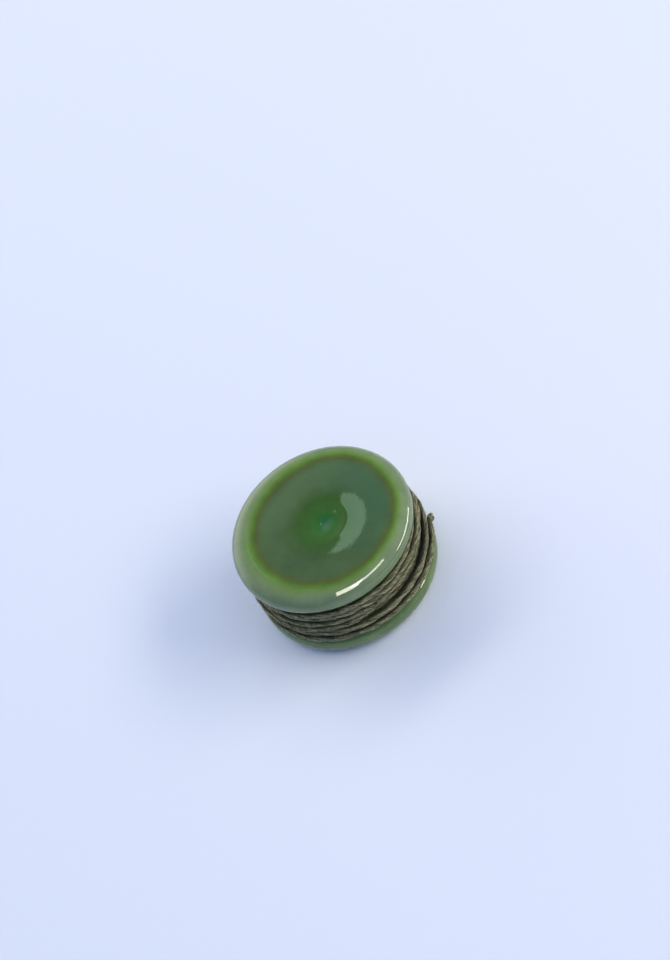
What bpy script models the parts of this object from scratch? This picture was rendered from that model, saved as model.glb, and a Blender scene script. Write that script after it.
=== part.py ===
"""Fixed-axle yo-yo: two turned halves on a threaded axle, with twine wound between their rims.

The yo-yo lies on the outer face of its rear half. +Z is the spin axis, and the origin is on that axis in the
plane of the rear half's flat land, so the front half is on top. Units are metres.
"""

import math

import bmesh
import bpy
from mathutils import Matrix, Vector

MM = 0.001

# Driving dimensions
RIM_RADIUS = 28.5 * MM
WIDTH = 30.4 * MM
RIM_SPACING = 22.2 * MM  # between the middles of the two rims
RIM_INNER_RISE = 3.7 * MM  # from the middle of a rim to its edge at the string
RIM_INNER_DEPTH = 2.9 * MM  # how far that edge rounds in from the rim's radius
LAND_RADIUS = 21.5 * MM  # outer edge of the flat land on each outer face
DIMPLE_RADIUS = 8.0 * MM
DIMPLE_DEPTH = 1.5 * MM
HUB_GAP = 4.8 * MM  # between the two hubs, where the string goes round the axle
HUB_RADIUS = 17.0 * MM
RIM_EXPONENT = 2.3  # over 2 squares the shoulder between the land and the rim

TWINE = 2.1 * MM
CLEARANCE = 0.3 * MM

SLEEVE_RADIUS = 4.0 * MM
ROD_RADIUS = 2.0 * MM
INSERT_RADIUS = 3.6 * MM
INSERT_LENGTH = 5.3 * MM
WASHER_RADIUS = 4.3 * MM
WASHER_THICKNESS = 0.6 * MM
SEAT_DEPTH = 1.5 * MM  # recess in each hub for the washer and the end of the sleeve
ROD_LENGTH = 18.0 * MM

WINDING_RADIUS = 28.8 * MM  # the crown of the wound twine
KNOT_AZIMUTH = math.radians(-14)
KNOT_HEIGHT = 10.2 * MM
KNOT_REACH = 30.1 * MM  # from the spin axis to the middle of the knot
KNOT_RADII = (1.35 * MM, 1.7 * MM, 1.5 * MM)  # outwards, round the winding, and along the axis

ROUND_SEGMENTS = 64
HUB_SEGMENTS = 32

# Worked out from the driving dimensions. Heights named offset are measured from the middle plane.
MIDDLE = WIDTH / 2
FACE_OFFSET = WIDTH / 2
RIM_OFFSET = RIM_SPACING / 2
HUB_OFFSET = HUB_GAP / 2
SEAT_OFFSET = HUB_OFFSET + SEAT_DEPTH
BORE_RADIUS = ROD_RADIUS + CLEARANCE
SEAT_RADIUS = WASHER_RADIUS + CLEARANCE
POCKET_RADIUS = INSERT_RADIUS + CLEARANCE
INSERT_OFFSET = SEAT_OFFSET + CLEARANCE
POCKET_OFFSET = INSERT_OFFSET + INSERT_LENGTH + CLEARANCE
WASHER_OFFSET = SEAT_OFFSET - CLEARANCE - WASHER_THICKNESS
SLEEVE_OFFSET = WASHER_OFFSET - CLEARANCE
WALL_RADIUS = RIM_RADIUS - RIM_INNER_DEPTH
WALL_OFFSET = RIM_OFFSET - RIM_INNER_RISE

MATERIALS = {  # colour, roughness, metallic
    "glaze": ((0.075, 0.16, 0.065), 0.12, 0.0),
    "twine": ((0.19, 0.155, 0.10), 0.95, 0.0),
    "hardwood": ((0.42, 0.24, 0.11), 0.6, 0.0),
    "brass": ((0.60, 0.42, 0.16), 0.3, 0.9),
    "steel": ((0.45, 0.45, 0.46), 0.35, 1.0),
    "washer_fibre": ((0.30, 0.06, 0.04), 0.8, 0.0),
}


def make_material(name):
    colour, roughness, metallic = MATERIALS[name]
    material = bpy.data.materials.new(name)
    material.use_nodes = True
    shader = material.node_tree.nodes["Principled BSDF"]
    shader.inputs["Base Color"].default_value = (*colour, 1)
    shader.inputs["Roughness"].default_value = roughness
    shader.inputs["Metallic"].default_value = metallic
    return material


def turned(name, material, profile, segments, parent=None, flip=False):
    """A solid turned about the Z axis from (radius, offset) points. The object's origin is on the axis,
    in the middle plane. An open profile starts and ends on the axis. flip turns the solid upside down."""
    work = bmesh.new()
    points = [work.verts.new((radius, 0, offset)) for radius, offset in profile]
    on_axis = profile[0][0] == 0 and profile[-1][0] == 0
    ends = zip(points, points[1:] if on_axis else points[1:] + points[:1])
    edges = [work.edges.new(pair) for pair in ends]
    bmesh.ops.spin(work, geom=points + edges, axis=(0, 0, 1), cent=(0, 0, 0), angle=2 * math.pi, steps=segments)
    bmesh.ops.remove_doubles(work, verts=work.verts[:], dist=0.001 * MM)
    if flip:
        bmesh.ops.rotate(work, verts=work.verts[:], matrix=Matrix.Rotation(math.pi, 3, "X"))
    bmesh.ops.recalc_face_normals(work, faces=work.faces[:])
    return add_object(name, material, work, parent)


def add_object(name, material, work, parent=None):
    mesh = bpy.data.meshes.new(name)
    work.to_mesh(mesh)
    work.free()
    mesh.shade_smooth()
    mesh.set_sharp_from_angle(angle=math.radians(35))
    mesh.materials.append(make_material(material))
    piece = bpy.data.objects.new(name, mesh)
    bpy.context.scene.collection.objects.link(piece)
    if parent:
        piece.parent = parent
    else:
        piece.location = (0, 0, MIDDLE)
    return piece


def add_pivot(name, parent=None):
    pivot = bpy.data.objects.new(name, None)
    bpy.context.scene.collection.objects.link(pivot)
    if parent:
        pivot.parent = parent
    else:
        pivot.location = (0, 0, MIDDLE)
    return pivot


def arc(centre, radii, first, last, steps, exponent=2.0):
    """Points on a part of a (super)ellipse, from angle first to angle last, in degrees."""
    points = []
    for step in range(steps + 1):
        angle = math.radians(first + (last - first) * step / steps)
        across, along = math.cos(angle), math.sin(angle)
        points.append((
            centre[0] + radii[0] * math.copysign(abs(across) ** (2 / exponent), across),
            centre[1] + radii[1] * math.copysign(abs(along) ** (2 / exponent), along),
        ))
    return points


def eased(start, end, steps):
    """Points on a smooth step from start to end, level at both ends."""
    points = []
    for step in range(steps + 1):
        share = step / steps
        rise = (1 - math.cos(math.pi * share)) / 2
        points.append((start[0] + (end[0] - start[0]) * share, start[1] + (end[1] - start[1]) * rise))
    return points


def half_profile():
    """From the middle of the dimple over the rim and down the groove's wall to the floor of the hub pocket."""
    dimple = eased((0, FACE_OFFSET - DIMPLE_DEPTH), (DIMPLE_RADIUS, FACE_OFFSET), 4)
    shoulder_radii = (RIM_RADIUS - LAND_RADIUS, FACE_OFFSET - RIM_OFFSET)
    shoulder = arc((LAND_RADIUS, RIM_OFFSET), shoulder_radii, 90, 0, 6, RIM_EXPONENT)
    edge = arc((WALL_RADIUS, RIM_OFFSET), (RIM_INNER_DEPTH, RIM_INNER_RISE), 0, -90, 5)
    wall = eased((WALL_RADIUS, WALL_OFFSET), (HUB_RADIUS, HUB_OFFSET), 5)
    pocket = [
        (SEAT_RADIUS, HUB_OFFSET),
        (SEAT_RADIUS, SEAT_OFFSET),
        (POCKET_RADIUS, SEAT_OFFSET),
        (POCKET_RADIUS, POCKET_OFFSET),
        (0, POCKET_OFFSET),
    ]
    return dimple + shoulder + edge[1:] + wall[1:] + pocket


def tube_profile(inner, outer, low, high):
    return [(outer, high), (outer, low), (inner, low), (inner, high)]


def winding_profile():
    """The wound twine: it fills the groove from the loop round the axle to the rims, and crowns between them."""
    inner = SLEEVE_RADIUS + CLEARANCE + TWINE + CLEARANCE
    hub_side = HUB_OFFSET - CLEARANCE
    wall_side = WALL_OFFSET - CLEARANCE
    crown = arc((WALL_RADIUS, 0), (WINDING_RADIUS - WALL_RADIUS, wall_side), 90, -90, 10, 3.0)
    lower = eased((WALL_RADIUS, -wall_side), (HUB_RADIUS, -hub_side), 5)[1:]
    upper = [(radius, -offset) for radius, offset in reversed(lower)]
    return crown + lower + [(inner, -hub_side), (inner, hub_side)] + upper


def loop_profile():
    """The one turn of twine round the axle sleeve."""
    radius = TWINE / 2
    centre = (SLEEVE_RADIUS + CLEARANCE + radius, 0)
    return arc(centre, (radius, radius), 0, -360, 10)[:-1]


def add_knot(parent):
    work = bmesh.new()
    bmesh.ops.create_icosphere(work, subdivisions=2, radius=1)
    bmesh.ops.scale(work, vec=KNOT_RADII, verts=work.verts[:])
    bmesh.ops.rotate(work, verts=work.verts[:], matrix=Matrix.Rotation(KNOT_AZIMUTH, 3, "Z"))
    across = (KNOT_REACH * math.cos(KNOT_AZIMUTH), KNOT_REACH * math.sin(KNOT_AZIMUTH))
    place = Vector((*across, KNOT_HEIGHT - MIDDLE))
    bmesh.ops.translate(work, vec=place, verts=work.verts[:])
    return add_object("string_end_knot", "twine", work, parent)


def add_fixed_pieces():
    rod_half = ROD_LENGTH / 2
    rod_end = 0.4 * MM
    rod = [
        (0, rod_half),
        (ROD_RADIUS - rod_end, rod_half),
        (ROD_RADIUS, rod_half - rod_end),
        (ROD_RADIUS, rod_end - rod_half),
        (ROD_RADIUS - rod_end, -rod_half),
        (0, -rod_half),
    ]
    sleeve = tube_profile(BORE_RADIUS, SLEEVE_RADIUS, -SLEEVE_OFFSET, SLEEVE_OFFSET)
    turned("rear_half", "glaze", half_profile(), ROUND_SEGMENTS, flip=True)
    turned("rear_insert", "brass", insert_profile(), HUB_SEGMENTS, flip=True)
    turned("rear_washer", "washer_fibre", washer_profile(), HUB_SEGMENTS, flip=True)
    turned("axle_rod", "steel", rod, HUB_SEGMENTS)
    turned("axle_sleeve", "hardwood", sleeve, HUB_SEGMENTS)


def insert_profile():
    return tube_profile(BORE_RADIUS, INSERT_RADIUS, INSERT_OFFSET, INSERT_OFFSET + INSERT_LENGTH)


def washer_profile():
    return tube_profile(BORE_RADIUS, WASHER_RADIUS, WASHER_OFFSET, WASHER_OFFSET + WASHER_THICKNESS)


def add_front_half():
    """The front half unscrews: a slide lifts the washer, and the half turns above it."""
    lift = add_pivot("front_lift")
    turn = add_pivot("front_turn", lift)
    turned("front_washer", "washer_fibre", washer_profile(), HUB_SEGMENTS, lift)
    turned("front_half", "glaze", half_profile(), ROUND_SEGMENTS, turn)
    turned("front_insert", "brass", insert_profile(), HUB_SEGMENTS, turn)


def add_string():
    """The twine turns round the sleeve as one body: its loop, its winding and its end knot."""
    spin = add_pivot("string_turn")
    turned("string_axle_loop", "twine", loop_profile(), HUB_SEGMENTS, spin)
    turned("string_winding", "twine", winding_profile(), ROUND_SEGMENTS, spin)
    add_knot(spin)


for leftover in list(bpy.data.objects):
    bpy.data.objects.remove(leftover)
add_fixed_pieces()
add_front_half()
add_string()
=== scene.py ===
"""Looks of the yo-yo: glazed halves, wound twine, the small pieces of the axle, floor, lights and camera.

Lengths are in metres, and MM turns millimetres into metres. Heights named offset are measured from the
middle plane between the two halves.
"""

import math

import bpy
import numpy as np
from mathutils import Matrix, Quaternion, Vector


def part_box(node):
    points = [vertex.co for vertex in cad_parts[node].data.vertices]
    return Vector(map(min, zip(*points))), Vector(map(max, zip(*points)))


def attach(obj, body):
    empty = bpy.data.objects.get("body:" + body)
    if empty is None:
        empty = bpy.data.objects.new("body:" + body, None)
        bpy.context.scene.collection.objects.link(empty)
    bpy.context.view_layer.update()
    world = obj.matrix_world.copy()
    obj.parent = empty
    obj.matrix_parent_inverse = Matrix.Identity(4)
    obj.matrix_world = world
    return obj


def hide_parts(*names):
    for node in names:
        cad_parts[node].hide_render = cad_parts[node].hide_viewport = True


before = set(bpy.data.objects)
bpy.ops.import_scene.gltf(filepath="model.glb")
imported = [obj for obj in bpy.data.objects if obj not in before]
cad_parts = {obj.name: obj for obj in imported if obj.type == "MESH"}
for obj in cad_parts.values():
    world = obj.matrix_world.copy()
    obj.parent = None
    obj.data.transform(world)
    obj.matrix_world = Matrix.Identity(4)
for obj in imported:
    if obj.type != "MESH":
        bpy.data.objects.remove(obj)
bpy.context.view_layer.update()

MM = 0.001
RANDOM = np.random.default_rng(867)

# Sizes read from the frame
FRONT_LOW, FRONT_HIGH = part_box("front_half")
RIM_RADIUS = FRONT_HIGH.x
WIDTH = FRONT_HIGH.z
MIDDLE = WIDTH / 2
FACE_OFFSET = WIDTH / 2
HUB_OFFSET = FRONT_LOW.z - MIDDLE
SLEEVE_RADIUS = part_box("axle_sleeve")[1].x
SLEEVE_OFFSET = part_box("axle_sleeve")[1].z - MIDDLE
ROD_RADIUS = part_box("axle_rod")[1].x
ROD_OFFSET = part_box("axle_rod")[1].z - MIDDLE
INSERT_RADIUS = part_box("front_insert")[1].x
INSERT_SPAN = [corner.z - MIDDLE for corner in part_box("front_insert")]
WASHER_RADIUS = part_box("front_washer")[1].x
WASHER_SPAN = [corner.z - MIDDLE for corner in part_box("front_washer")]
KNOT_CENTRE = (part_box("string_end_knot")[0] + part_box("string_end_knot")[1]) / 2
KNOT_ANGLE = math.atan2(KNOT_CENTRE.y, KNOT_CENTRE.x)

# The shape of a half, as in the CAD
RIM_OFFSET = 11.1 * MM
RIM_INNER_RISE = 3.7 * MM
RIM_INNER_DEPTH = 2.9 * MM
LAND_RADIUS = 21.5 * MM
CREASE_RADIUS = 22.6 * MM
RIM_EXPONENT = 2.3
HUB_RADIUS = 17.0 * MM
SEAT_RADIUS = 4.6 * MM
SEAT_OFFSET = 3.9 * MM
POCKET_RADIUS = 3.9 * MM
POCKET_OFFSET = 9.8 * MM
BORE_RADIUS = 2.3 * MM
WALL_RADIUS = RIM_RADIUS - RIM_INNER_DEPTH
WALL_OFFSET = RIM_OFFSET - RIM_INNER_RISE

# Its finer form
FACE_SLOPES = (  # radius in mm and how steeply the face falls towards its middle there, in degrees
    (0, 0), (1, 8), (2.5, 11), (4, 10), (5.2, 7.0), (6, 6.1), (7, 8), (8.4, 8.4), (9.2, 5.6), (13, 4.0), (17.3, 2.5),
    (19, 0.9), (20.5, 0),
)
CHAMFER = 0.25 * MM
THREAD_PITCH = 0.7 * MM
AXLE_SEGMENTS = 144  # round each small piece of the axle

# The twine
TWINE = 2.1 * MM
STRANDS_APART = 0.93 * TWINE  # between the middles of two strands that press on each other
TURN_SAMPLES = 96
STRAND_STEP = 0.75 * MM  # between the rings of a strand
STRAND_SIDES = 14
TIGHTEST_BEND = 5.0 * MM
TWIST_PITCH = 24 * MM
PLY_RADIUS = 0.56 * MM
PLY_REACH = 0.45 * MM  # from the middle of the twine to the middle of a ply
PLIES = 3
LANES = 49  # places across the groove where a turn can end
MOST_TURNS = 90
CORE_RADIUS = 23.6 * MM  # up to here the winding fills from the bottom up
LEAST_ROOM = 0.7 * MM  # between the pile and the crown, for one more turn there
ROUND_SLEEVE = 0.22 * MM  # between the first turn and the sleeve, which turn on each other


# ---------------------------------------------------------------- camera and cords

def add_camera():
    """A long lens from above the front face, rolled so that the spin axis leans to the upper left."""
    distance = 0.8
    elevation = math.radians(51.2)
    roll = math.radians(34.2)
    picture_height = 960
    pixels_per_metre = 3332
    aim_above = 67.5
    data = bpy.data.cameras.new("camera")
    focal_pixels = pixels_per_metre * distance
    data.lens = focal_pixels * data.sensor_width / picture_height
    camera = bpy.data.objects.new("camera", data)
    bpy.context.scene.collection.objects.link(camera)
    back = Vector((0, -math.cos(elevation), math.sin(elevation)))
    camera.location = Vector((0, 0, MIDDLE)) + back * distance
    upright = (-back).to_track_quat("-Z", "Y")
    rolled = upright @ Quaternion((0, 0, 1), -roll)
    camera.rotation_mode = "QUATERNION"
    camera.rotation_quaternion = rolled @ Quaternion((1, 0, 0), math.atan(aim_above / focal_pixels))
    bpy.context.scene.camera = camera


def eased(start, end, share):
    """A smooth step between two values, level at both ends."""
    share = np.clip(share, 0, 1)
    return start + (end - start) * (1 - np.cos(np.pi * share)) / 2


def wall_offset(radius):
    """Half the width of the groove at a radius."""
    inner = eased(HUB_OFFSET, WALL_OFFSET, (radius - HUB_RADIUS) / (WALL_RADIUS - HUB_RADIUS))
    round_in = np.clip((radius - WALL_RADIUS) / RIM_INNER_DEPTH, 0, 1)
    return inner + RIM_INNER_RISE * (1 - np.sqrt(1 - round_in ** 2))


def lowest_radius(offset):
    """The smallest radius at which a strand this far from the middle plane fits in the groove."""
    radii = np.linspace(SLEEVE_RADIUS, RIM_RADIUS, 400)
    free = wall_offset(radii) - TWINE / 2 - 0.05 * MM
    fits = radii[np.searchsorted(free, abs(offset))] if abs(offset) < free[-1] else RIM_RADIUS
    return max(fits, SLEEVE_RADIUS + TWINE / 2 + 0.05 * MM)


def smoothed(values, width):
    kernel = np.hanning(width + 2)[1:-1]
    padded = np.pad(values, width // 2, mode="edge")
    return np.convolve(padded, kernel / kernel.sum(), mode="valid")


def crown(angle, offset):
    """How far out the middle of the topmost strands lies: the winding bulges on one side and towards the rear,
    and is sunk below the front rim."""
    side = 0.5 + 0.5 * np.cos(angle - math.radians(-15))
    bulge = side * eased(1, 0, (offset - 0.5 * MM) / (3.5 * MM))
    over_rear_rim = (0.35 + 0.65 * side) * eased(0, 1, (-offset - 4.0 * MM) / (2.5 * MM))
    sunk = (1.0 + 0.4 * np.cos(angle - math.radians(20))) * eased(0, 1, (offset - 2.5 * MM) / (3.0 * MM))
    return (27.15 + 0.95 * bulge + 0.45 * over_rear_rim - sunk) * MM


def winding_path():
    """The middle line of the twine: one turn on the sleeve, then turn after turn.

    The core fills from the bottom up. The outer turns lie beside each other wherever there is room, back and
    forth across the groove. Each turn rests on the turns below it, so strands that cross lift over each other."""
    widest = WALL_OFFSET - 0.55 * MM
    hub_reach = HUB_OFFSET - TWINE / 2 - 0.06 * MM
    lanes = np.linspace(-1, 1, LANES) * widest
    floors = np.array([lowest_radius(lane) for lane in lanes])
    share = np.linspace(0, 1, TURN_SAMPLES, endpoint=False)
    angles = KNOT_ANGLE + 2 * np.pi * share
    ceilings = np.array([np.maximum(crown(angles, lane), lowest_radius(lane)) for lane in lanes])
    turns_radius, turns_offset = [], []
    offset_now, heading = 0.0, 1.0
    for turn in range(MOST_TURNS):
        heights = np.array([pile_height(lane, turns_radius, turns_offset) for lane in lanes])
        tops = np.maximum(heights, floors[:, None])
        room = (ceilings - tops).mean(axis=1)
        if room.max() < LEAST_ROOM:
            break
        core_room = CORE_RADIUS - tops.mean(axis=1)
        step = lanes - offset_now
        if core_room.max() > 0:  # the deepest lane, near by
            liking = core_room + RANDOM.uniform(0, 0.3 * MM, len(lanes)) - 0.04 * np.abs(step)
        else:  # a lane with room one strand further on, if there is one
            liking = np.minimum(room, 1.5 * MM) + RANDOM.uniform(0, 0.35 * MM, len(lanes))
            liking -= 0.30 * np.maximum(np.abs(step) - 2.2 * MM, 0)
            liking += np.where(step * heading > 0, 0.4 * MM, 0)
            liking[room < LEAST_ROOM] = -1
        target = 0.0 if turn == 0 else lanes[liking.argmax()]
        heading = math.copysign(1, target - offset_now) if turn else 1.0
        drift = RANDOM.uniform(0.4, 0.8)
        wander = 0.2 * MM * np.sin(2 * np.pi * (share + RANDOM.uniform())) * np.sin(np.pi * share)
        reach = hub_reach if max(abs(offset_now), abs(target)) < hub_reach else widest
        turn_offset = np.clip(eased(offset_now, target, share / drift) + wander, -reach, reach)
        floor = np.array([lowest_radius(value) for value in turn_offset])
        turn_radius = np.maximum(floor, pile_along(turn_offset, turns_radius, turns_offset))
        ceiling = np.maximum(crown(angles, turn_offset) + 0.45 * MM, floor)
        turns_radius.append(np.minimum(turn_radius, ceiling))
        turns_offset.append(turn_offset)
        offset_now = target
    turns_radius = loosened(turns_radius, turns_offset, lanes, angles)
    return smoothed(np.concatenate(turns_radius), 13), smoothed(np.concatenate(turns_offset), 9)


def loosened(turns_radius, turns_offset, lanes, angles):
    """The outer turns, let out until they fill the groove up to the crown all the way round."""
    tops = np.array([pile_height(lane, turns_radius, turns_offset) for lane in lanes]) - STRANDS_APART
    slack = np.clip(np.array([crown(angles, lane) for lane in lanes]) - tops, -0.3 * MM, 2.2 * MM)
    slack = sum(np.roll(slack, shift, axis=1) for shift in range(-4, 5)) / 9
    slack = np.array([slack[max(row - 3, 0):row + 4].mean(axis=0) for row in range(len(lanes))])
    loose = []
    for radius, offset in zip(turns_radius, turns_offset):
        column = np.arange(TURN_SAMPLES)
        row = np.clip(np.searchsorted(lanes, offset), 0, len(lanes) - 1)
        outer = eased(0, 1, (radius - tops[row, column]) / (1.4 * TWINE) + 1)
        floor = np.array([lowest_radius(value) for value in offset])
        loose.append(np.maximum(radius + slack[row, column] * outer, floor))
    return loose


def pile_height(offset, turns_radius, turns_offset):
    """How far out a strand at this offset would lie, at each sample round the turn."""
    return pile_along(np.full(TURN_SAMPLES, offset), turns_radius, turns_offset)


def pile_along(turn_offset, turns_radius, turns_offset):
    height = np.full(TURN_SAMPLES, SLEEVE_RADIUS + TWINE / 2 + 0.05 * MM)
    for below_radius, below_offset in zip(turns_radius, turns_offset):
        apart = turn_offset - below_offset
        lift = np.sqrt(np.maximum(STRANDS_APART ** 2 - apart ** 2, 0))
        height = np.where(lift > 0, np.maximum(height, below_radius + lift), height)
    return height


def cord_points():
    """The whole middle line as points, from the sleeve to the knot."""
    radii, offsets = winding_path()
    radii = np.maximum(radii, SLEEVE_RADIUS + TWINE / 2 + ROUND_SLEEVE)
    step = 2 * np.pi / TURN_SAMPLES
    angles = KNOT_ANGLE + step * (np.arange(len(radii)) - len(radii) + 1)
    # the last stretch rises out of the winding to the knot
    last = TURN_SAMPLES // 4
    rise = eased(0, 1, np.arange(last) / last)
    knot_radius = math.hypot(KNOT_CENTRE.x, KNOT_CENTRE.y) - 1.2 * MM
    radii[-last:] += (knot_radius - radii[-last:]) * rise
    offsets[-last:] += (KNOT_CENTRE.z - MIDDLE - offsets[-last:]) * rise
    return np.stack([radii * np.cos(angles), radii * np.sin(angles), MIDDLE + offsets], axis=1)


def resampled(points, spacing):
    """Points on the same line at an even spacing, and how far along the line each is."""
    steps = np.linalg.norm(np.diff(points, axis=0), axis=1)
    along = np.concatenate([[0], np.cumsum(steps)])
    count = int(along[-1] / spacing)
    even = np.linspace(0, along[-1], count)
    return np.stack([np.interp(even, along, points[:, axis]) for axis in range(3)], axis=1), even


def relaxed(points, spacing):
    """The same line with each bend that is too tight for the twine opened up, except where it goes round
    the sleeve."""
    points = points.copy()
    on_sleeve = int(2 * np.pi * (SLEEVE_RADIUS + TWINE) / spacing)
    for _ in range(400):
        second = points[2:] - 2 * points[1:-1] + points[:-2]
        tight = np.linalg.norm(second, axis=1) > spacing ** 2 / TIGHTEST_BEND
        tight[:on_sleeve] = False
        if not tight.any():
            break
        weight = np.clip(np.convolve(tight, np.hanning(17), mode="same"), 0, 1)
        points[1:-1] += 0.35 * weight[:, None] * second
    return points


def painted_shade_depth(vertices, points, sides):
    """How deep each point of a strand's surface lies, used for painted shade in the grooves: 0 on top, 1 on the side
    that faces the axle.
    """
    middle = np.repeat(np.linalg.norm(points[:, :2], axis=1), sides)
    return np.clip(0.5 - (np.linalg.norm(vertices[:, :2], axis=1) - middle) / TWINE, 0, 1)


def new_mesh_object(name, vertices, faces, material, body):
    """Every mesh made here: faces are index rows of one width, or a list of such arrays."""
    groups = faces if isinstance(faces, list) else [faces]
    mesh = bpy.data.meshes.new(name)
    mesh.vertices.add(len(vertices))
    mesh.vertices.foreach_set("co", np.asarray(vertices, dtype=np.float32).ravel())
    corners = np.concatenate([group.ravel() for group in groups])
    sizes = np.concatenate([np.full(len(group), group.shape[1]) for group in groups])
    mesh.loops.add(len(corners))
    mesh.loops.foreach_set("vertex_index", corners.astype(np.int32))
    mesh.polygons.add(len(sizes))
    mesh.polygons.foreach_set("loop_start", np.concatenate([[0], np.cumsum(sizes)[:-1]]).astype(np.int32))
    mesh.polygons.foreach_set("loop_total", sizes.astype(np.int32))
    mesh.update(calc_edges=True)
    mesh.validate()
    mesh.shade_smooth()
    mesh.materials.append(material)
    piece = bpy.data.objects.new(name, mesh)
    bpy.context.scene.collection.objects.link(piece)
    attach(piece, body)
    return piece


def add_point_values(piece, name, kind, values):
    attribute = piece.data.attributes.new(name, kind, "POINT")
    key = "value" if kind == "FLOAT" else "vector"
    attribute.data.foreach_set(key, np.asarray(values, dtype=np.float32).ravel())


def frames_along(points):
    """Two directions across the line at each point: away from the spin axis, and the third one."""
    tangents = np.gradient(points, axis=0)
    tangents /= np.linalg.norm(tangents, axis=1)[:, None]
    outward = points * [1, 1, 0]
    outward /= np.linalg.norm(outward, axis=1)[:, None]
    outward -= (outward * tangents).sum(axis=1)[:, None] * tangents
    outward /= np.linalg.norm(outward, axis=1)[:, None]
    return outward, np.cross(tangents, outward)


def ply_surface(points, along, first_angle, sides, ply_radius=PLY_RADIUS, ply_reach=PLY_REACH, pitch=TWIST_PITCH):
    """One ply: a tube that winds round the twine's middle line, with fibre bundles as ridges."""
    outward, sideways = frames_along(points)
    waves = [np.sin(along / (scale * MM) + RANDOM.uniform(0, 6)) for scale in (1.3, 2.9, 6.1)]
    turn = first_angle + 2 * np.pi * along / pitch + 0.3 * waves[2] + 0.12 * waves[1]
    reach = ply_reach * (1 + 0.10 * waves[2] + 0.05 * waves[0])
    centres = points + reach[:, None] * (np.cos(turn)[:, None] * outward + np.sin(turn)[:, None] * sideways)
    around = np.linspace(0, 2 * np.pi, sides, endpoint=False)
    ridges = (
        1
        + 0.08 * np.cos(3 * around[None, :] + 0.9 * turn[:, None] + 1.2 * waves[1][:, None])
        + 0.07 * np.cos(5 * around[None, :] - 1.4 * turn[:, None] + first_angle + waves[2][:, None])
    )
    radius = ply_radius * ridges * (1 + 0.05 * waves[0] + 0.06 * waves[1])[:, None]
    across = np.cos(around)[None, :, None] * outward[:, None] + np.sin(around)[None, :, None] * sideways[:, None]
    surface = centres[:, None] + radius[:, :, None] * across
    ply_turn = around[None, :] - 1.5 * turn[:, None]
    fibre = np.stack([
        radius / MM * np.cos(ply_turn),
        radius / MM * np.sin(ply_turn),
        np.broadcast_to(along[:, None] / MM + 40 * first_angle, radius.shape),
    ], axis=-1)
    return surface.reshape(-1, 3), fibre.reshape(-1, 3), tube_faces(len(points), sides)


def tube_faces(rings, sides, closed_ends=True):
    """Quads between neighbouring rings, and a fan that closes each end."""
    ring = np.arange(rings - 1)[:, None] * sides
    side = np.arange(sides)[None, :]
    after = (side + 1) % sides
    quads = np.stack([ring + side, ring + after, ring + sides + after, ring + sides + side], axis=-1)
    quads = quads.reshape(-1, 4)
    if not closed_ends:
        return [quads]
    first = np.arange(sides)[::-1][None, :]
    last = (rings - 1) * sides + np.arange(sides)[None, :]
    return [quads, np.concatenate([first, last])]


def joined(parts):
    """Several (vertices, fibre, faces) surfaces as one."""
    vertices, fibre, groups, start = [], [], [], 0
    for part_vertices, part_fibre, part_faces in parts:
        vertices.append(part_vertices)
        fibre.append(part_fibre)
        groups += [group + start for group in part_faces]
        start += len(part_vertices)
    return np.concatenate(vertices), np.concatenate(fibre), groups


def add_twine(points, material):
    even, along = resampled(points, STRAND_STEP)
    even = relaxed(even, STRAND_STEP)
    parts = [ply_surface(even, along, 2 * math.pi * ply / PLIES, STRAND_SIDES) for ply in range(PLIES)]
    vertices, fibre, faces = joined(parts)
    twine = new_mesh_object("twine", vertices, faces, material, "string")
    add_point_values(twine, "fibre", "FLOAT_VECTOR", fibre)
    # the depth of each point drives the painted shade between strands
    add_point_values(twine, "depth", "FLOAT", np.concatenate([painted_shade_depth(part[0], even, STRAND_SIDES) for part in parts]))
    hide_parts("string_axle_loop", "string_winding")
    return twine, even, along[-1]


def add_knot(material):
    """A small overhand knot, drawn tight: the twine thins where it is pulled together."""
    size = 0.52 * MM
    turn = np.linspace(0, 2 * np.pi, 90)
    knot = np.stack([
        size * (np.cos(2 * turn) * (1.25 + 0.6 * np.cos(3 * turn))),
        size * (np.sin(2 * turn) * (1.25 + 0.6 * np.cos(3 * turn))),
        size * 0.9 * np.sin(3 * turn),
    ], axis=1)
    outward = Vector((KNOT_CENTRE.x, KNOT_CENTRE.y, 0)).normalized()
    side = Vector((0, 0, 1)).cross(outward)
    axes = np.array([side, (0, 0, 1), outward])
    points = knot @ axes + np.array(KNOT_CENTRE - outward * 0.5 * MM)
    along = np.concatenate([[0], np.cumsum(np.linalg.norm(np.diff(points, axis=0), axis=1))])
    parts = [ply_surface(points, along, angle, 12, 0.40 * MM, 0.26 * MM, 9 * MM) for angle in (0.0, math.pi)]
    vertices, fibre, faces = joined(parts)
    piece = new_mesh_object("end_knot", vertices, faces, material, "string")
    add_point_values(piece, "fibre", "FLOAT_VECTOR", fibre)
    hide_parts("string_end_knot")
    return piece


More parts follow.
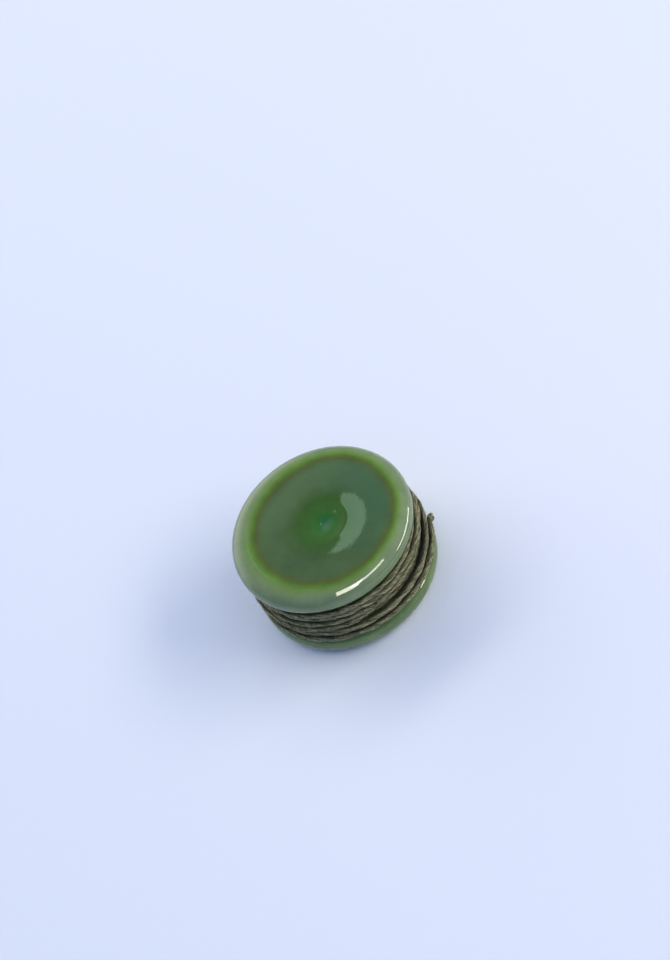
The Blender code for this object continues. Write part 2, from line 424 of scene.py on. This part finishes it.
def add_fuzz(points, material):
    """Loose fibres that stand off the outer turns."""
    outward, sideways = frames_along(points)
    radius = np.linalg.norm(points[:, :2], axis=1)
    outer = np.flatnonzero(radius > 26.6 * MM)
    parts = []
    for index in RANDOM.choice(outer, 900):
        tangent = np.cross(outward[index], sideways[index])
        angle = RANDOM.uniform(-1.2, 1.2)
        normal = math.cos(angle) * outward[index] + math.sin(angle) * sideways[index]
        length = RANDOM.uniform(0.7, 3.2) * MM
        lean = RANDOM.uniform(0.1, 0.6)
        share = np.linspace(0, 1, 6)[:, None]
        forward = tangent * RANDOM.choice([-1, 1])
        curl = RANDOM.normal(0, 0.25, 3)
        line = points[index] + normal * TWINE * 0.4 + length * share * (
            forward * (1 - 0.3 * share) + normal * lean * (1.2 - share) + curl * share)
        parts.append(hair(line, RANDOM.uniform(0.022, 0.04) * MM))
    vertices, fibre, faces = joined(parts)
    fuzz = new_mesh_object("twine_fuzz", vertices, faces, material, "string")
    add_point_values(fuzz, "fibre", "FLOAT_VECTOR", fibre)
    return fuzz


def hair(line, thickness):
    """A three-sided hair along a line, thinner towards its tip."""
    outward, sideways = frames_along(line)
    around = np.arange(3) * 2 * np.pi / 3
    taper = thickness * np.linspace(1, 0.35, len(line))[:, None, None]
    across = np.cos(around)[None, :, None] * outward[:, None] + np.sin(around)[None, :, None] * sideways[:, None]
    surface = (line[:, None] + taper * across).reshape(-1, 3)
    return surface, surface / MM, tube_faces(len(line), 3)


# ---------------------------------------------------------------- materials

def new_material(name):
    material = bpy.data.materials.new(name)
    material.use_nodes = True
    return material, material.node_tree, material.node_tree.nodes["Principled BSDF"]


def add_node(tree, kind, inputs=None, **settings):
    """A node with its settings, and its inputs as values or as sockets to link from."""
    node = tree.nodes.new(kind)
    for key, value in settings.items():
        setattr(node, key, value)
    for key, value in (inputs or {}).items():
        if isinstance(value, bpy.types.NodeSocket):
            tree.links.new(value, node.inputs[key])
        else:
            node.inputs[key].default_value = value
    return node


def maths(tree, operation, first, second=0.0, third=0.0):
    return add_node(tree, "ShaderNodeMath", {0: first, 1: second, 2: third}, operation=operation).outputs[0]


def mixed(tree, share, first, second, blend="MIX"):
    node = add_node(tree, "ShaderNodeMix", data_type="RGBA", blend_type=blend)
    for socket, value in ((node.inputs["Factor"], share), (node.inputs[6], first), (node.inputs[7], second)):
        if isinstance(value, bpy.types.NodeSocket):
            tree.links.new(value, socket)
        else:
            socket.default_value = value
    return node.outputs[2]


def ramp(tree, factor, stops, interpolation="LINEAR"):
    node = add_node(tree, "ShaderNodeValToRGB", {"Fac": factor})
    node.color_ramp.interpolation = interpolation
    elements = node.color_ramp.elements
    while len(elements) < len(stops):
        elements.new(0.5)
    for element, (position, colour) in zip(elements, stops):
        element.position = position
        element.color = (*colour, 1)
    return node.outputs[0]


def srgb(red, green, blue):
    """Linear colour of an sRGB one on the 0 to 255 scale."""
    scaled = [value / 255 for value in (red, green, blue)]
    return tuple(v / 12.92 if v <= 0.04045 else ((v + 0.055) / 1.055) ** 2.4 for v in scaled)


def from_to(tree, value, low, high):
    """0 where the value is low or less, rising to 1 where it is high or more."""
    inputs = {"Value": value, "From Min": low, "From Max": high}
    return add_node(tree, "ShaderNodeMapRange", inputs).outputs[0]


def noise(tree, vector, scale, detail=2.0, roughness=0.5, distortion=0.0):
    inputs = {"Vector": vector, "Scale": scale, "Detail": detail, "Roughness": roughness, "Distortion": distortion}
    return add_node(tree, "ShaderNodeTexNoise", inputs).outputs["Fac"]


GLAZE_AND_PAINTED_LIGHT_BANDS = (  # distance over the surface from the middle of the face in mm, and the glaze's colour there, with painted light and reflection from 30.5 mm on
    (0.0, (22, 88, 58)),
    (0.9, (32, 98, 46)),
    (2.2, (46, 104, 34)),
    (4.0, (56, 106, 30)),
    (6.0, (61, 100, 26)),
    (8.0, (58, 94, 25)),
    (11.0, (64, 93, 38)),
    (16.0, (73, 98, 54)),
    (20.3, (77, 101, 54)),
    (21.7, (86, 98, 42)),
    (22.6, (86, 110, 34)),
    (23.5, (94, 130, 44)),
    (24.6, (110, 142, 70)),
    (25.8, (120, 144, 90)),
    (27.5, (122, 141, 100)),
    # painted light and reflection: from 30.5 to 38 mm, round the underside and inner wall of the rim, lighter and bluer
    # than the glaze
    (30.5, (118, 137, 94)),
    (31.8, (108, 130, 76)),
    (33.0, (84, 116, 60)),
    (38.0, (68, 112, 54)),
    (50.0, (60, 96, 50)),
)
BAND_RANGE = 50.0
RINGS_SHIFT = 2.3  # mm
RINGS_TURN = math.radians(-32)


def glaze_material():
    """Glossy green glaze whose colour changes in rings, as it runs thin on the rim and pools on the face, with painted
    light and reflection on the underside and inner wall of the rim.
    """
    material, tree, shader = new_material("glaze")
    place = add_node(tree, "ShaderNodeTexCoord").outputs["Object"]
    band = add_node(tree, "ShaderNodeAttribute", attribute_name="band", attribute_type="GEOMETRY").outputs["Fac"]
    broad = noise(tree, place, 90, 3, 0.55)
    fine = noise(tree, place, 420, 4, 0.6)
    shift = maths(tree, "MULTIPLY_ADD", broad, 2.6, -1.3)
    shift = maths(tree, "ADD", shift, maths(tree, "MULTIPLY_ADD", fine, 0.8, -0.4))
    position = maths(tree, "DIVIDE", maths(tree, "ADD", band, shift), BAND_RANGE)
    # the rings of colour, with painted light and reflection on the rim's underside and inner wall
    colour = ramp(tree, position, [(mm / BAND_RANGE, srgb(*shade)) for mm, shade in GLAZE_AND_PAINTED_LIGHT_BANDS], "EASE")
    mottle = ramp(tree, noise(tree, place, 150, 5, 0.65), [(0.3, (0.86,) * 3), (0.7, (1.1,) * 3)])
    colour = mixed(tree, 1.0, colour, mottle, "MULTIPLY")
    # clouds of paler, bluer glaze on the flat of the face
    clouds = ramp(tree, noise(tree, place, 110, 4, 0.7, 0.6), [(0.50, (0,) * 3), (0.72, (1,) * 3)])
    on_flat = ramp(tree, position, [(0.18, (0,) * 3), (0.26, (1,) * 3), (0.37, (1,) * 3), (0.43, (0,) * 3)])
    colour = mixed(tree, maths(tree, "MULTIPLY", maths(tree, "MULTIPLY", clouds, on_flat), 0.3), colour,
                   (*srgb(84, 116, 78), 1))
    # the face is paler towards +Y, and bluer towards +X
    axes = add_node(tree, "ShaderNodeSeparateXYZ", {0: place})
    far = from_to(tree, axes.outputs["Y"], -4 * MM, 24 * MM)
    colour = mixed(tree, maths(tree, "MULTIPLY", maths(tree, "MULTIPLY", far, on_flat), 0.55), colour,
                   (*srgb(104, 130, 84), 1))
    aside = from_to(tree, axes.outputs["X"], 2 * MM, 22 * MM)
    colour = mixed(tree, maths(tree, "MULTIPLY", maths(tree, "MULTIPLY", aside, on_flat), 0.5), colour,
                   (*srgb(64, 110, 76), 1))
    # pinholes and specks
    cells = add_node(tree, "ShaderNodeTexVoronoi", {"Vector": place, "Scale": 420.0}).outputs["Distance"]
    specks = ramp(tree, cells, [(0.035, (1,) * 3), (0.07, (0,) * 3)])
    patches = ramp(tree, noise(tree, place, 130, 2, 0.5), [(0.56, (0,) * 3), (0.6, (1,) * 3)])
    specks = maths(tree, "MULTIPLY", specks, patches)
    colour = mixed(tree, maths(tree, "MULTIPLY", specks, 0.4), colour, (*srgb(150, 176, 120), 1))
    # lines left by turning, round the side of the rim
    wavy_band = maths(tree, "ADD", band, maths(tree, "MULTIPLY_ADD", fine, 0.3, -0.15))
    lines = ramp(tree, maths(tree, "DIVIDE", wavy_band, BAND_RANGE), [
        stop for mm in (29.4, 30.6, 31.3) for stop in (
            ((mm - 0.2) / BAND_RANGE, (0,) * 3), (mm / BAND_RANGE, (1,) * 3), ((mm + 0.2) / BAND_RANGE, (0,) * 3))])
    lines = maths(tree, "MULTIPLY", lines, ramp(tree, broad, [(0.42, (0,) * 3), (0.52, (1,) * 3)]))
    colour = mixed(tree, maths(tree, "MULTIPLY", lines, 0.6), colour, (*srgb(64, 78, 48), 1))
    tree.links.new(colour, shader.inputs["Base Color"])
    shader.inputs["Roughness"].default_value = 0.035
    shader.inputs["IOR"].default_value = 1.5
    ripple = noise(tree, place, 260, 2, 0.5)
    grit = noise(tree, place, 1700, 2, 0.5)
    height = maths(tree, "MULTIPLY_ADD", grit, 0.3, ripple)
    height = maths(tree, "SUBTRACT", height, maths(tree, "MULTIPLY", maths(tree, "ADD", lines, specks), 0.8))
    bump = add_node(tree, "ShaderNodeBump", {"Strength": 0.04, "Distance": 0.0003, "Height": height})
    tree.links.new(bump.outputs[0], shader.inputs["Normal"])
    return material


def twine_material():
    """Natural bast twine: streaks of light and dark fibre along each ply, with painted shade where it is pressed in
    between strands.
    """
    material, tree, shader = new_material("twine")
    fibre = add_node(tree, "ShaderNodeAttribute", attribute_name="fibre", attribute_type="GEOMETRY")
    depth = add_node(tree, "ShaderNodeAttribute", attribute_name="depth", attribute_type="GEOMETRY").outputs["Fac"]
    streaks = add_node(tree, "ShaderNodeMapping", {"Vector": fibre.outputs["Vector"], "Scale": (1, 1, 0.12)})
    fine = noise(tree, streaks.outputs[0], 7.0, 4, 0.7)
    broad = noise(tree, streaks.outputs[0], 2.8, 2, 0.5)
    colour = ramp(tree, fine, [
        (0.30, srgb(56, 56, 38)), (0.45, srgb(121, 121, 95)), (0.58, srgb(176, 175, 144)), (0.75, srgb(240, 238, 210)),
    ])
    tint = ramp(tree, broad, [(0.36, srgb(140, 144, 118)), (0.50, srgb(214, 214, 190)), (0.62, srgb(255, 252, 240))])
    colour = mixed(tree, 1.0, colour, tint, "MULTIPLY")
    # painted shade: darker the deeper a point lies, between strands and on the side facing the axle
    shade = ramp(tree, depth, [(0.15, (1,) * 3), (0.42, srgb(146, 148, 132)), (0.60, srgb(58, 60, 46))])
    colour = mixed(tree, 1.0, colour, shade, "MULTIPLY")
    tree.links.new(colour, shader.inputs["Base Color"])
    shader.inputs["Roughness"].default_value = 0.85
    shader.inputs["Specular IOR Level"].default_value = 0.2
    shader.inputs["Sheen Weight"].default_value = 0.12
    bump = add_node(tree, "ShaderNodeBump", {"Strength": 0.9, "Distance": 0.00014, "Height": fine})
    tree.links.new(bump.outputs[0], shader.inputs["Normal"])
    return material


def wood_material():
    material, tree, shader = new_material("hardwood")
    place = add_node(tree, "ShaderNodeTexCoord").outputs["Object"]
    grain = add_node(tree, "ShaderNodeMapping", {"Vector": place, "Scale": (1, 1, 0.12)})
    streaks = noise(tree, grain.outputs[0], 1800, 4, 0.6)
    colour = ramp(tree, streaks, [(0.3, srgb(150, 104, 62)), (0.7, srgb(204, 160, 108))])
    tree.links.new(colour, shader.inputs["Base Color"])
    shader.inputs["Roughness"].default_value = 0.55
    bump = add_node(tree, "ShaderNodeBump", {"Strength": 0.3, "Distance": 0.0001, "Height": streaks})
    tree.links.new(bump.outputs[0], shader.inputs["Normal"])
    return material


def metal_material(name, dark, light, roughness):
    material, tree, shader = new_material(name)
    place = add_node(tree, "ShaderNodeTexCoord").outputs["Object"]
    stain = noise(tree, place, 900, 4, 0.6)
    tree.links.new(ramp(tree, stain, [(0.3, dark), (0.7, light)]), shader.inputs["Base Color"])
    shader.inputs["Metallic"].default_value = 1.0
    shader.inputs["Roughness"].default_value = roughness
    return material


def fibre_material():
    material, tree, shader = new_material("washer_fibre")
    place = add_node(tree, "ShaderNodeTexCoord").outputs["Object"]
    specks = noise(tree, place, 3500, 3, 0.7)
    tree.links.new(ramp(tree, specks, [(0.35, srgb(120, 40, 30)), (0.65, srgb(160, 66, 48))]),
                   shader.inputs["Base Color"])
    shader.inputs["Roughness"].default_value = 0.8
    return material


# ---------------------------------------------------------------- turned pieces

def superellipse(centre, radii, first, last, steps, exponent=2.0):
    angle = np.radians(np.linspace(first, last, steps + 1))
    across, along = np.cos(angle), np.sin(angle)
    return np.stack([
        centre[0] + radii[0] * np.sign(across) * np.abs(across) ** (2 / exponent),
        centre[1] + radii[1] * np.sign(along) * np.abs(along) ** (2 / exponent),
    ], axis=1)


def face_profile():
    """The outer face from the axis to where its flat rim ends: a soft dimple in a very shallow dish."""
    radius = np.append(np.linspace(0, CREASE_RADIUS - 0.08 * MM, 114), CREASE_RADIUS)
    corners, degrees = np.array(FACE_SLOPES).T
    slope = np.tan(np.radians(smoothed(np.interp(radius / MM, corners, degrees), 5)))
    rise = np.concatenate([[0], np.cumsum((slope[1:] + slope[:-1]) / 2 * np.diff(radius))])
    return np.stack([radius, FACE_OFFSET - rise[-1] + rise], axis=1)


def half_profile():
    shoulder_radii = (RIM_RADIUS - LAND_RADIUS, FACE_OFFSET - RIM_OFFSET)
    shoulder = superellipse((LAND_RADIUS, RIM_OFFSET), shoulder_radii, 90, 0, 40, RIM_EXPONENT)
    shoulder = shoulder[shoulder[:, 0] > CREASE_RADIUS + 0.9 * MM]
    step = shoulder[0] - (CREASE_RADIUS, FACE_OFFSET)
    past_crease = np.array((CREASE_RADIUS, FACE_OFFSET)) + step * 0.09
    edge = superellipse((WALL_RADIUS, RIM_OFFSET), (RIM_INNER_DEPTH, RIM_INNER_RISE), 0, -90, 24)
    share = np.linspace(0, 1, 20)
    wall = np.stack([WALL_RADIUS + (HUB_RADIUS - WALL_RADIUS) * share,
                     eased(WALL_OFFSET, HUB_OFFSET, share)], axis=1)
    pocket = np.array([
        (SEAT_RADIUS + CHAMFER, HUB_OFFSET),
        (SEAT_RADIUS, HUB_OFFSET + CHAMFER),
        (SEAT_RADIUS, SEAT_OFFSET),
        (POCKET_RADIUS + CHAMFER, SEAT_OFFSET),
        (POCKET_RADIUS, SEAT_OFFSET + CHAMFER),
        (POCKET_RADIUS, POCKET_OFFSET),
        (0, POCKET_OFFSET),
    ])
    return np.concatenate([face_profile(), [past_crease], shoulder, edge[1:], wall[1:], pocket])


def turned(name, profile, material, body, segments=192, flip=False, sharp=35):
    """A solid turned from (radius, offset) points that start and end on the axis, with the distance along
    the profile in mm kept at each vertex as its band."""
    steps = np.linalg.norm(np.diff(profile, axis=0), axis=1)
    band = np.concatenate([[0], np.cumsum(steps)]) / MM
    angle = np.linspace(0, 2 * np.pi, segments, endpoint=False)
    rings = profile[1:-1]
    vertices = np.stack([
        rings[:, :1] * np.cos(angle), rings[:, :1] * np.sin(angle), np.repeat(rings[:, 1:], segments, axis=1),
    ], axis=-1).reshape(-1, 3)
    first, last = [0, 0, profile[0, 1]], [0, 0, profile[-1, 1]]
    vertices = np.concatenate([vertices, [first, last]])
    quads = tube_faces(len(rings), segments, closed_ends=False)[0][:, ::-1]
    side = np.arange(segments)
    after = (side + 1) % segments
    end = (len(rings) - 1) * segments
    top = np.stack([side, after, np.full(segments, len(vertices) - 2)], axis=1)
    bottom = np.stack([end + after, end + side, np.full(segments, len(vertices) - 1)], axis=1)
    if flip:
        vertices = vertices * [1, -1, -1]
    piece = new_mesh_object(name, vertices + [0, 0, MIDDLE], [quads, top, bottom], material, body)
    bands = np.concatenate([np.repeat(band[1:-1], segments), [band[0], band[-1]]])
    # the rings of colour on the face lie a little off centre
    shift = RINGS_SHIFT * np.clip((29 - bands) / 6, 0, 1)
    round_turn = np.arctan2(vertices[:, 1], vertices[:, 0]) - RINGS_TURN
    bands = np.sqrt(np.maximum(bands ** 2 - 2 * bands * shift * np.cos(round_turn) + shift ** 2, 0))
    add_point_values(piece, "band", "FLOAT", bands)
    piece.data.set_sharp_from_angle(angle=math.radians(sharp))
    return piece


def add_halves(material):
    for name, body, flip in (("front", "front", False), ("rear", "spool", True)):
        half = turned(name + "_glazed_half", half_profile(), material, body, flip=flip)
        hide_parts(name + "_half")


def thread(angle, offset, depth):
    """How far a screw thread stands back from its crest: V grooves with flattened tops."""
    phase = (offset / THREAD_PITCH - angle / (2 * np.pi)) % 1
    return depth * np.clip(1.6 * np.abs(2 * phase - 1) - 0.25, 0, 1)


def knurl(angle, offset):
    """Crossed grooves on the outside of an insert."""
    along = 2 * np.pi * offset / (1.1 * MM)
    return 0.14 * MM * np.maximum(np.cos(24 * angle + along), np.cos(24 * angle - along)) ** 4


def inner_thread(angle, offset):
    """The thread in the bore of an insert, half a pitch along from the rod's."""
    return thread(angle, offset + THREAD_PITCH / 2, 0.28 * MM) - 0.14 * MM


def turning_marks(angle, offset):
    """Shallow waves round the wooden sleeve."""
    return 0.02 * MM * np.sin(9 * angle + 2 * offset / MM)


def plain(angle, offset):
    """No relief."""
    return 0 * angle


def relief_piece(name, radii, offsets, material, body, closed=True):
    """A turned piece from rings of radii at offsets: a tube when closed, else a solid bar."""
    angle = round_angles()
    vertices = np.stack([
        radii * np.cos(angle), radii * np.sin(angle), np.repeat(offsets[:, None] + MIDDLE, AXLE_SEGMENTS, axis=1),
    ], axis=-1).reshape(-1, 3)
    faces = tube_faces(len(offsets), AXLE_SEGMENTS, closed_ends=not closed)
    if closed:
        last = (len(offsets) - 1) * AXLE_SEGMENTS
        side = np.arange(AXLE_SEGMENTS)
        after = (side + 1) % AXLE_SEGMENTS
        faces.append(np.stack([last + side, last + after, after, side], axis=1))
    piece = new_mesh_object(name, vertices, faces, material, body)
    piece.data.set_sharp_from_angle(angle=math.radians(40))
    return piece


def round_angles():
    return np.linspace(0, 2 * np.pi, AXLE_SEGMENTS, endpoint=False)


def bushing(name, outer, span, chamfer, material, body, bore_relief=plain, outer_relief=plain):
    """A tube round the rod with chamfered edges, and a relief cut into its bore or its outside."""
    low, high = span
    angle = round_angles()
    inside = np.arange(high - chamfer, low + chamfer, -THREAD_PITCH / 8)
    bore_edge = np.full(AXLE_SEGMENTS, BORE_RADIUS + chamfer)
    outer_edge = np.full(AXLE_SEGMENTS, outer - chamfer)
    rings = [(bore_edge, high)]
    rings += [(BORE_RADIUS + bore_relief(angle, offset), offset) for offset in inside]
    rings += [(bore_edge, low), (outer_edge, low)]
    rings += [(outer - outer_relief(angle, offset), offset) for offset in inside[::-1]]
    rings += [(outer_edge, high)]
    radii, offsets = zip(*rings[::-1])
    return relief_piece(name, np.array(radii), np.array(offsets), material, body)


def add_axle(steel, brass, wood, fibre):
    """The threaded rod, the sleeve that the string runs on, and an insert and a washer at each end."""
    chamfer = 0.4 * MM
    offsets = np.arange(-ROD_OFFSET, ROD_OFFSET + THREAD_PITCH / 16, THREAD_PITCH / 8)
    ends = np.clip((ROD_OFFSET - np.abs(offsets)) / chamfer, 0, 1)[:, None]
    cut = thread(round_angles()[None, :], offsets[:, None], 0.3 * MM)
    radii = ROD_RADIUS - np.maximum(cut, (1 - ends) * chamfer)
    rod = relief_piece("threaded_rod", radii, offsets, steel, "spool", closed=False)
    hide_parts("axle_rod")
    sleeve = bushing("wooden_sleeve", SLEEVE_RADIUS, (-SLEEVE_OFFSET, SLEEVE_OFFSET), 0.3 * MM,
                     wood, "spool", outer_relief=turning_marks)
    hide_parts("axle_sleeve")
    for side, insert_body, washer_body in (("front", "front", "front_lift"), ("rear", "spool", "spool")):
        spans = [INSERT_SPAN, WASHER_SPAN]
        if side == "rear":
            spans = [[-high, -low] for low, high in spans]
        insert = bushing(side + "_brass_insert", INSERT_RADIUS, spans[0], 0.3 * MM, brass,
                         insert_body, bore_relief=inner_thread, outer_relief=knurl)
        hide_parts(side + "_insert")
        washer = bushing(side + "_fibre_washer", WASHER_RADIUS, spans[1], 0.12 * MM, fibre,
                         washer_body)
        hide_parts(side + "_washer")


# ---------------------------------------------------------------- stage

def add_area_light(name, place, size, power, colour):
    data = bpy.data.lights.new(name, "AREA")
    data.shape = "RECTANGLE"
    data.size, data.size_y = size
    data.energy = power
    data.color = colour
    light = bpy.data.objects.new(name, data)
    bpy.context.scene.collection.objects.link(light)
    light.location = place
    light.visible_camera = False
    return light


def toward(azimuth, elevation, distance):
    """A place at a distance from the object: azimuth 0 is +X, 90 is +Y."""
    turn, rise = math.radians(azimuth), math.radians(elevation)
    flat = math.cos(rise)
    return Vector((flat * math.cos(turn), flat * math.sin(turn), math.sin(rise))) * distance


def world_lobe(tree, direction, azimuth, elevation, reach):
    """How bright a broad patch of the surroundings is in each direction: 1 in its middle, 0 past its reach."""
    middle = tuple(toward(azimuth, elevation, 1))
    facing = add_node(tree, "ShaderNodeVectorMath", {0: direction, 1: middle}, operation="DOT_PRODUCT").outputs["Value"]
    inputs = {"Value": facing, "From Min": math.cos(math.radians(reach)), "From Max": 1.0}
    return add_node(tree, "ShaderNodeMapRange", inputs, interpolation_type="SMOOTHSTEP").outputs["Result"]


def add_world():
    """A pale bluish room, brighter to the right of the camera and low behind the object."""
    world = bpy.data.worlds.new("studio")
    world.use_nodes = True
    tree = world.node_tree
    direction = add_node(tree, "ShaderNodeTexCoord").outputs["Generated"]
    colour = ROOM_COLOUR
    for azimuth, elevation, reach, tint in ROOM_LOBES:
        lobe = world_lobe(tree, direction, azimuth, elevation, reach)
        inputs = {0: lobe, 1: tint, 2: colour}
        colour = add_node(tree, "ShaderNodeVectorMath", inputs, operation="MULTIPLY_ADD").outputs[0]
    tree.links.new(colour, tree.nodes["Background"].inputs["Color"])
    bpy.context.scene.world = world


ROOM_COLOUR = (0.16, 0.24, 0.46)
ROOM_LOBES = (  # azimuth, elevation and reach in degrees, and how much light each adds in its middle
    (-25, 42, 55, (0.55, 0.55, 0.5)),
    (118, 5, 42, (2.0, 2.0, 1.8)),
)


def box_light(name, azimuth, elevation, distance, angles, radiance, colour, turn=0.0):
    """A rectangular softbox that faces the object. angles are its width and height as seen from there."""
    place = toward(azimuth, elevation, distance)
    size = [2 * distance * math.tan(math.radians(angle) / 2) for angle in angles]
    power = radiance * math.pi * size[0] * size[1]
    light = add_area_light(name, place, size, power, colour)
    facing = (Vector((0, 0, MIDDLE)) - place).to_track_quat("-Z", "Y")
    light.rotation_mode = "QUATERNION"
    light.rotation_quaternion = facing @ Quaternion((0, 0, 1), math.radians(turn))
    return light


def add_room_lights():
    """The broad lights that the shadows come from, and the small bright ones that mirror in the glaze."""
    warm = (1.0, 0.88, 0.72)
    right = box_light("right_box", -22, 34, 1.2, (46, 14), 7.9, warm)
    rear = box_light("rear_box", 100, 47, 1.2, (78, 14), 3.5, warm)
    for light in (right, rear):
        light.visible_glossy = False
    straw = (1.0, 1.0, 0.84)
    mirrored = (
        box_light("key_box", -106, 57, 1.1, (19, 25), 16, straw),
        box_light("key_tail", -73, 60, 1.1, (30, 11), 14, straw),
        box_light("low_window", -18, 5, 1.0, (44, 8), 20, straw),
    )
    for light in mirrored:
        light.visible_diffuse = False
    box_light("crescent_box", 96.4, 48.0, 0.9, (4.7, 11.7), 2.15, (0.68, 1.0, 0.80), turn=-38.4)


def add_stage():
    add_world()
    bpy.context.scene.view_settings.view_transform = "Standard"
    material, tree, shader = new_material("floor")
    shader.inputs["Base Color"].default_value = (0.81, 0.87, 0.98, 1)
    shader.inputs["Roughness"].default_value = 0.9
    bpy.ops.mesh.primitive_plane_add(size=4)
    floor = bpy.context.object
    floor.name = "floor"
    floor.data.materials.append(material)
    add_room_lights()


add_camera()
twine_look = twine_material()
route = cord_points()
twine, route_even, twine_length = add_twine(route, twine_look)
knot = add_knot(twine_look)
fuzz = add_fuzz(route_even, twine_look)
add_halves(glaze_material())
add_axle(
    steel=metal_material("steel", (0.30, 0.30, 0.31), (0.50, 0.50, 0.51), 0.35),
    brass=metal_material("brass", (0.45, 0.28, 0.10), (0.68, 0.47, 0.20), 0.3),
    wood=wood_material(),
    fibre=fibre_material(),
)
add_stage()

print("twine", round(float(twine_length), 3), "m")
